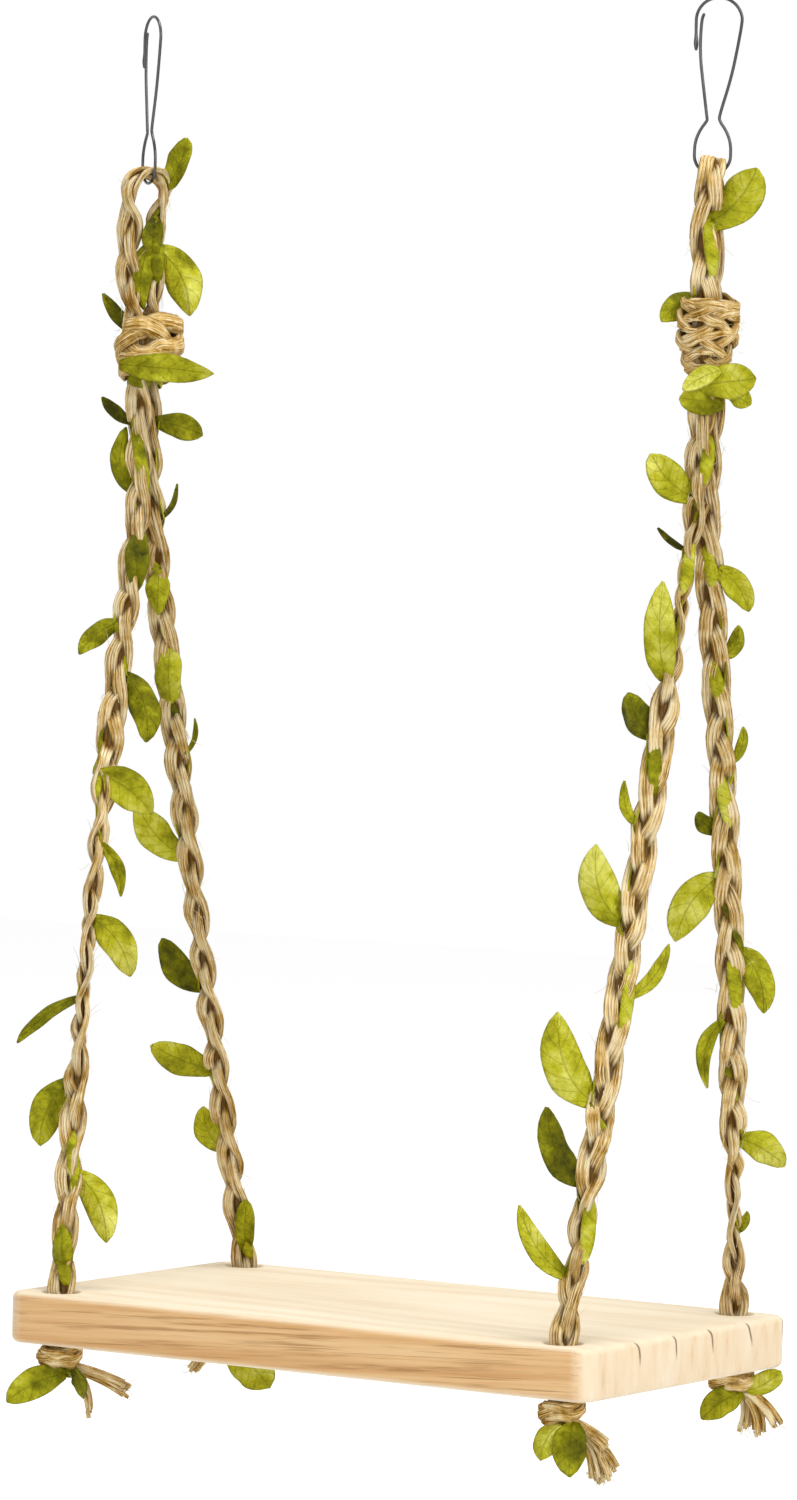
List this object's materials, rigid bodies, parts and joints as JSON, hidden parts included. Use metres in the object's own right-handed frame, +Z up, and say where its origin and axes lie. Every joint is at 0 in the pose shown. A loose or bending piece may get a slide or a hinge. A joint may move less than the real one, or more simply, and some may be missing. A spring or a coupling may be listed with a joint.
{
  "type": "hanging platform swing for a bird",
  "caption": "Flat wooden perch board hung at its corners on plaited jute ropes, knotted into eyes on bent wire hooks, with leaf ribbon plaited into the ropes.",
  "frame": {"origin": "on the line of the bar that both hooks hang on, half way between the hooks", "axes": "+X along the board's length to the right, +Y to the back, +Z up"},
  "size_m": [0.2281, 0.114, 0.4184],
  "materials": {
    "wood": "bare sanded",
    "jute": "fibrous matt",
    "leaf_cloth": "matt woven cloth",
    "steel_wire": "bright drawn wire"
  },
  "bodies": {
    "hooks": {"left_hook": "steel_wire", "right_hook": "steel_wire"},
    "left_gate": {"left_hook_gate": "steel_wire"},
    "right_gate": {"right_hook_gate": "steel_wire"},
    "left_eye": {"left_rope_eye": "jute", "left_top_knot": "jute", "left_eye_leaves": "leaf_cloth", "left_collar_leaves": "leaf_cloth"},
    "right_eye": {"right_rope_eye": "jute", "right_top_knot": "jute", "right_eye_leaves": "leaf_cloth", "right_collar_leaves": "leaf_cloth"},
    "left_legs": {"left_front_leg": "jute", "left_back_leg": "jute", "left_front_leg_leaves": "leaf_cloth", "left_back_leg_leaves": "leaf_cloth"},
    "right_legs": {"right_front_leg": "jute", "right_back_leg": "jute", "right_front_leg_leaves": "leaf_cloth", "right_back_leg_leaves": "leaf_cloth"},
    "board": {"board": "wood", "left_front_rope_end": "jute", "left_front_stopper_knot": "jute", "left_front_end_leaves": "leaf_cloth", "left_back_rope_end": "jute", "left_back_stopper_knot": "jute", "left_back_end_leaves": "leaf_cloth", "right_front_rope_end": "jute", "right_front_stopper_knot": "jute", "right_front_end_leaves": "leaf_cloth", "right_back_rope_end": "jute", "right_back_stopper_knot": "jute", "right_back_end_leaves": "leaf_cloth"}
  },
  "joints": [
    {"name": "swing", "type": "hinge", "parent": "hooks", "child": "left_eye", "pos_m": [-0.097, 0, -0.04725], "axis": [1, 0, 0], "range_deg": [-25, 25]},
    {"name": "right_swing", "type": "hinge", "parent": "hooks", "child": "right_eye", "pos_m": [0.097, 0, -0.04725], "axis": [1, 0, 0], "range_deg": [-25, 25]},
    {"name": "sway", "type": "hinge", "parent": "left_eye", "child": "left_legs", "pos_m": [-0.097, 0, -0.11628], "axis": [0, 1, 0], "range_deg": [-12, 12]},
    {"name": "right_sway", "type": "hinge", "parent": "right_eye", "child": "right_legs", "pos_m": [0.097, 0, -0.11628], "axis": [0, 1, 0], "range_deg": [-12, 12]},
    {"name": "board_level", "type": "hinge", "parent": "left_legs", "child": "board", "pos_m": [-0.086, 0, -0.37428], "axis": [0, 1, 0], "range_deg": [-14, 14]},
    {"name": "left_gate_spring", "type": "hinge", "parent": "hooks", "child": "left_gate", "pos_m": [-0.09843, 0.00093, -0.03325], "axis": [0.5446, 0.8387, 0], "range_deg": [0, 12], "stiffness_Nm_per_rad": 0.004, "springref_deg": -2.86},
    {"name": "right_gate_spring", "type": "hinge", "parent": "hooks", "child": "right_gate", "pos_m": [0.09557, -0.00093, -0.03325], "axis": [-0.5446, 0.8387, 0], "range_deg": [0, 12], "stiffness_Nm_per_rad": 0.004, "springref_deg": -2.86}
  ],
  "couplings": [
    {"joint": "right_swing", "follows": "swing", "ratio": 1},
    {"joint": "right_sway", "follows": "sway", "ratio": 1},
    {"joint": "board_level", "follows": "sway", "ratio": -1.128}
  ]
}
